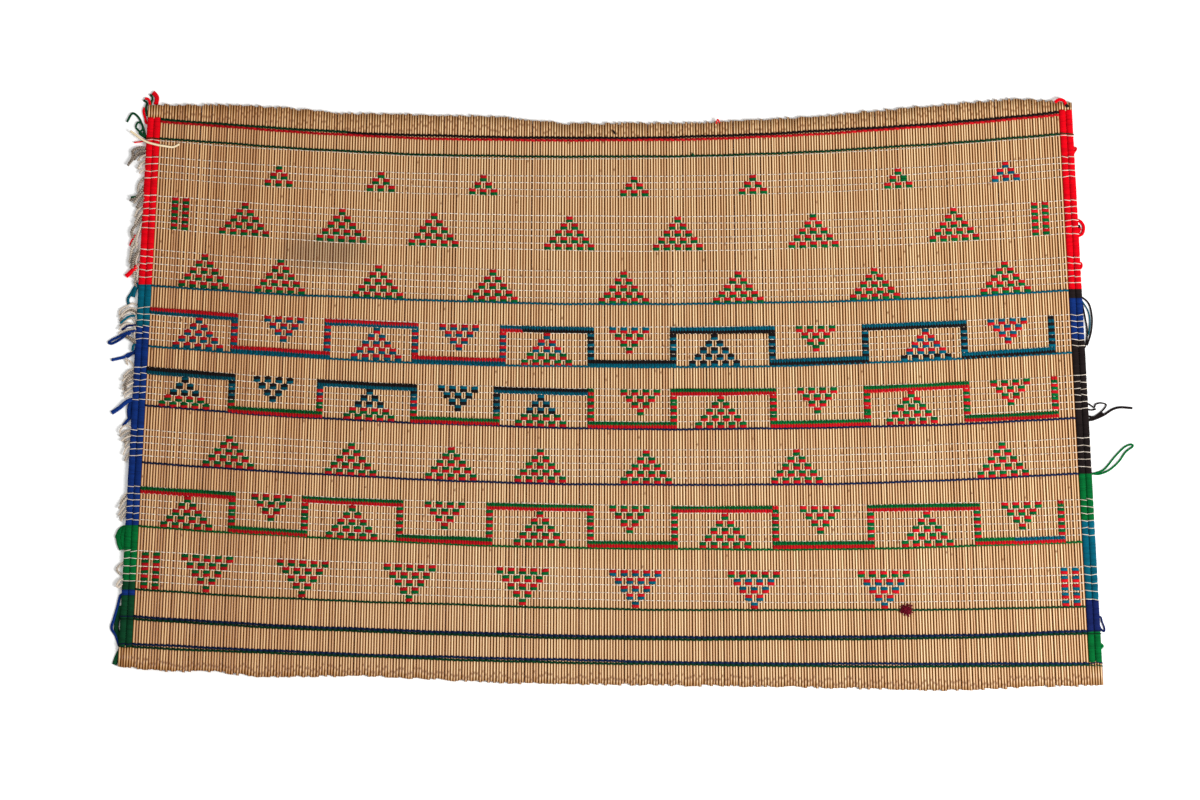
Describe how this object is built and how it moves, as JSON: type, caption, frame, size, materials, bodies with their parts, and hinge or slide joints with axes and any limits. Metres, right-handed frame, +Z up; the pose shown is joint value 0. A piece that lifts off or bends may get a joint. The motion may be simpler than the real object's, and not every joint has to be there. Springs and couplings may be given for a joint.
{
  "type": "tuareg mat",
  "caption": "Flat reed mat held by twined thread and wool courses, with stepped triangles, meander frets, wool-wrapped selvedges and loose yarn ends.",
  "frame": {"origin": "middle of the mat's whole box, loose ends included, on the face that it lies on", "axes": "+Z up out of the mat's face, +X across the stems to the right, +Y along the stems to the shorter edge"},
  "size_m": [1.024, 0.5996, 0.0073],
  "materials": {
    "reed": "split and whole dried grass stems, smooth skin with a low gloss",
    "wool_red": "dyed wool yarn, matt and slightly fuzzy",
    "wool_dark_green": "dyed wool yarn, matt and slightly fuzzy",
    "wool_green": "dyed wool yarn, matt and slightly fuzzy",
    "wool_teal": "dyed wool yarn, matt and slightly fuzzy",
    "wool_blue": "dyed wool yarn, matt and slightly fuzzy",
    "wool_navy": "dyed wool yarn, matt and slightly fuzzy",
    "wool_black": "dyed wool yarn, matt and slightly fuzzy",
    "wool_dark_red": "frayed dyed wool, matt",
    "thread": "undyed two-ply cotton thread, matt",
    "straw": "flat split straw, slightly glossy"
  },
  "bodies": {
    "root": {"caught_straw": "straw", "course_01_lower": "wool_red", "course_01_upper": "wool_black", "course_02": "wool_green", "course_03": "wool_teal", "course_04": "wool_teal", "course_05": "wool_navy", "course_06": "wool_navy", "course_07": "wool_green", "course_08": "wool_dark_green", "course_09_lower": "wool_dark_green", "course_09_upper": "wool_navy", "course_10_lower": "wool_dark_green", "course_10_upper": "wool_navy", "ends_1": "thread", "ends_2": "thread", "ends_3": "thread", "ends_4": "thread", "ends_5": "thread", "ends_6": "thread", "ends_7": "thread", "ends_8": "thread", "fret_lower": "wool_green", "fret_middle": "wool_teal", "fret_upper": "wool_red", "reed_field": "reed", "tail_black_arc": "wool_black", "tail_black_long": "wool_black", "tail_black_loop": "wool_black", "tail_blue_bend": "wool_blue", "tail_blue_edge": "wool_blue", "tail_blue_fork": "wool_blue", "tail_blue_loop": "wool_blue", "tail_blue_nub": "wool_navy", "tail_corner": "wool_dark_green", "tail_green_bulge": "wool_green", "tail_green_curl": "wool_dark_green", "tail_green_loop": "wool_green", "tail_green_stub": "wool_dark_green", "tail_red_hook": "wool_red", "tail_red_loop": "wool_red", "tail_red_stub": "wool_red", "tail_red_thick": "wool_red", "tail_teal": "wool_teal", "tuft": "wool_dark_red", "wrap_left_1_red": "wool_red", "wrap_left_2_teal": "wool_teal", "wrap_left_3_blue": "wool_blue", "wrap_left_4_green": "wool_green", "wrap_left_5_dark_green": "wool_dark_green", "wrap_left_6_blue_ring": "wool_blue", "wrap_left_7_dark_green": "wool_dark_green", "wrap_right_1_red": "wool_red", "wrap_right_2_black": "wool_black", "wrap_right_3_blue": "wool_blue", "wrap_right_4_black": "wool_black", "wrap_right_5_green": "wool_green", "wrap_right_6_teal": "wool_teal", "wrap_right_7_navy": "wool_navy", "wrap_right_8_green": "wool_green"}
  },
  "joints": []
}
